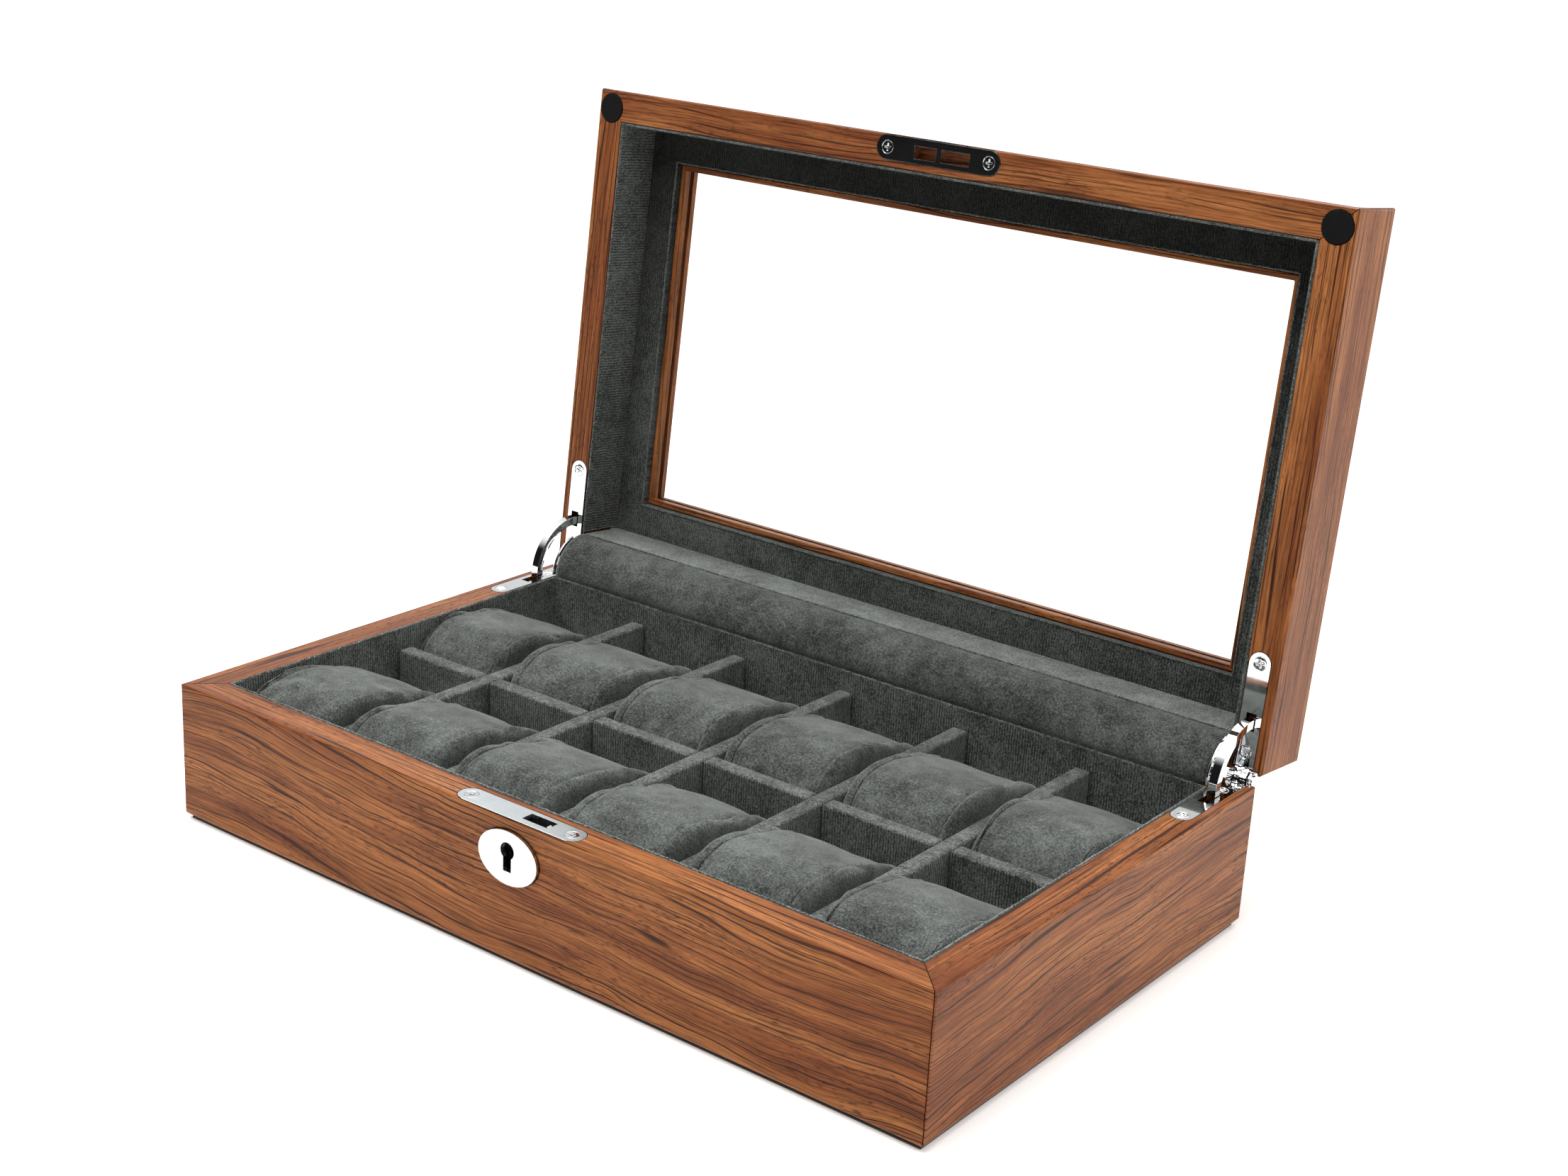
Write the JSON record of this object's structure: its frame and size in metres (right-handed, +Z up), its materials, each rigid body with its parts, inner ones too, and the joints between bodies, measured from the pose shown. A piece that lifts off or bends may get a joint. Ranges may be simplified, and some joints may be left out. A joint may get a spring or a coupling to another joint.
{
  "type": "watch box",
  "caption": "Wooden watch box with a hinged glazed lid, velvet-lined compartments with lift-out pillows, side hinges with stay arms, and a key-turned hook lock.",
  "frame": {"origin": "middle of the base's underside, on the surface that the box stands on", "axes": "+X to the right along the box's width, -Y to the front with the lock, +Z up"},
  "size_m": [0.33, 0.2517, 0.2501],
  "materials": {
    "wood": "satin lacquer over veneer",
    "panel_wood": "plain board",
    "velvet": "velvet",
    "chrome": "polished",
    "glass": "clear",
    "rubber": "matte"
  },
  "bodies": {
    "base": {"base_front_wall": "wood", "base_right_wall": "wood", "base_back_wall": "wood", "base_left_wall": "wood", "underside_felt": "velvet", "bottom_panel": "panel_wood", "floor_lining": "velvet", "base_wall_lining": "velvet", "cross_divider": "velvet", "long_divider_1": "velvet", "long_divider_2": "velvet", "long_divider_3": "velvet", "long_divider_4": "velvet", "long_divider_5": "velvet", "hinge_cover": "velvet", "left_end_plate": "chrome", "right_end_plate": "chrome", "lock_face_plate": "chrome", "lock_plate_screw_left": "chrome", "lock_plate_screw_right": "chrome", "lock_case": "chrome", "key_post": "chrome", "keyhole_escutcheon": "chrome", "left_base_leaf": "chrome", "right_base_leaf": "chrome", "left_hinge_pin": "chrome", "right_hinge_pin": "chrome"},
    "lid": {"lid_front_rail": "wood", "lid_right_rail": "wood", "lid_back_rail": "wood", "lid_left_rail": "wood", "glass_pane": "glass", "glass_bead": "wood", "lid_velvet_board": "velvet", "lid_wall_lining": "velvet", "strike_plate": "chrome", "strike_plate_screw_left": "chrome", "strike_plate_screw_right": "chrome", "left_bumper": "rubber", "right_bumper": "rubber", "left_lid_leaf": "chrome", "right_lid_leaf": "chrome"},
    "lock_hook": {"lock_hook": "chrome"},
    "left_stay_arm": {"left_stay_arm": "chrome"},
    "right_stay_arm": {"right_stay_arm": "chrome"},
    "front_pillow_1": {"front_pillow_1": "velvet"},
    "front_pillow_2": {"front_pillow_2": "velvet"},
    "front_pillow_3": {"front_pillow_3": "velvet"},
    "front_pillow_4": {"front_pillow_4": "velvet"},
    "front_pillow_5": {"front_pillow_5": "velvet"},
    "front_pillow_6": {"front_pillow_6": "velvet"},
    "back_pillow_1": {"back_pillow_1": "velvet"},
    "back_pillow_2": {"back_pillow_2": "velvet"},
    "back_pillow_3": {"back_pillow_3": "velvet"},
    "back_pillow_4": {"back_pillow_4": "velvet"},
    "back_pillow_5": {"back_pillow_5": "velvet"},
    "back_pillow_6": {"back_pillow_6": "velvet"}
  },
  "joints": [
    {"name": "lid_hinge", "type": "hinge", "parent": "base", "child": "lid", "pos_m": [0, 0.1, 0.0533], "axis": [-1, 0, 0], "range_deg": [-96, 0], "deforming": ["hinge_cover"]},
    {"name": "left_stay_pivot", "type": "hinge", "parent": "lid", "child": "left_stay_arm", "pos_m": [-0.1576, 0.10497, 0.07289], "axis": [-1, 0, 0], "range_deg": [0, 30]},
    {"name": "right_stay_pivot", "type": "hinge", "parent": "lid", "child": "right_stay_arm", "pos_m": [0.1576, 0.10497, 0.07289], "axis": [-1, 0, 0], "range_deg": [0, 30]},
    {"name": "hook_turn", "type": "hinge", "parent": "base", "child": "lock_hook", "pos_m": [0, -0.0927, 0.042], "axis": [0, -1, 0], "range_deg": [0, 47]},
    {"name": "front_pillow_1_lift", "type": "slide", "parent": "base", "child": "front_pillow_1", "axis": [0, 0, 1], "range_m": [0, 0.06]},
    {"name": "front_pillow_2_lift", "type": "slide", "parent": "base", "child": "front_pillow_2", "axis": [0, 0, 1], "range_m": [0, 0.06]},
    {"name": "front_pillow_3_lift", "type": "slide", "parent": "base", "child": "front_pillow_3", "axis": [0, 0, 1], "range_m": [0, 0.06]},
    {"name": "front_pillow_4_lift", "type": "slide", "parent": "base", "child": "front_pillow_4", "axis": [0, 0, 1], "range_m": [0, 0.06]},
    {"name": "front_pillow_5_lift", "type": "slide", "parent": "base", "child": "front_pillow_5", "axis": [0, 0, 1], "range_m": [0, 0.06]},
    {"name": "front_pillow_6_lift", "type": "slide", "parent": "base", "child": "front_pillow_6", "axis": [0, 0, 1], "range_m": [0, 0.06]},
    {"name": "back_pillow_1_lift", "type": "slide", "parent": "base", "child": "back_pillow_1", "axis": [0, 0, 1], "range_m": [0, 0.06]},
    {"name": "back_pillow_2_lift", "type": "slide", "parent": "base", "child": "back_pillow_2", "axis": [0, 0, 1], "range_m": [0, 0.06]},
    {"name": "back_pillow_3_lift", "type": "slide", "parent": "base", "child": "back_pillow_3", "axis": [0, 0, 1], "range_m": [0, 0.06]},
    {"name": "back_pillow_4_lift", "type": "slide", "parent": "base", "child": "back_pillow_4", "axis": [0, 0, 1], "range_m": [0, 0.06]},
    {"name": "back_pillow_5_lift", "type": "slide", "parent": "base", "child": "back_pillow_5", "axis": [0, 0, 1], "range_m": [0, 0.06]},
    {"name": "back_pillow_6_lift", "type": "slide", "parent": "base", "child": "back_pillow_6", "axis": [0, 0, 1], "range_m": [0, 0.06]}
  ],
  "couplings": [
    {"joint": "left_stay_pivot", "follows": "lid_hinge", "ratio": -0.3},
    {"joint": "right_stay_pivot", "follows": "lid_hinge", "ratio": -0.3}
  ]
}
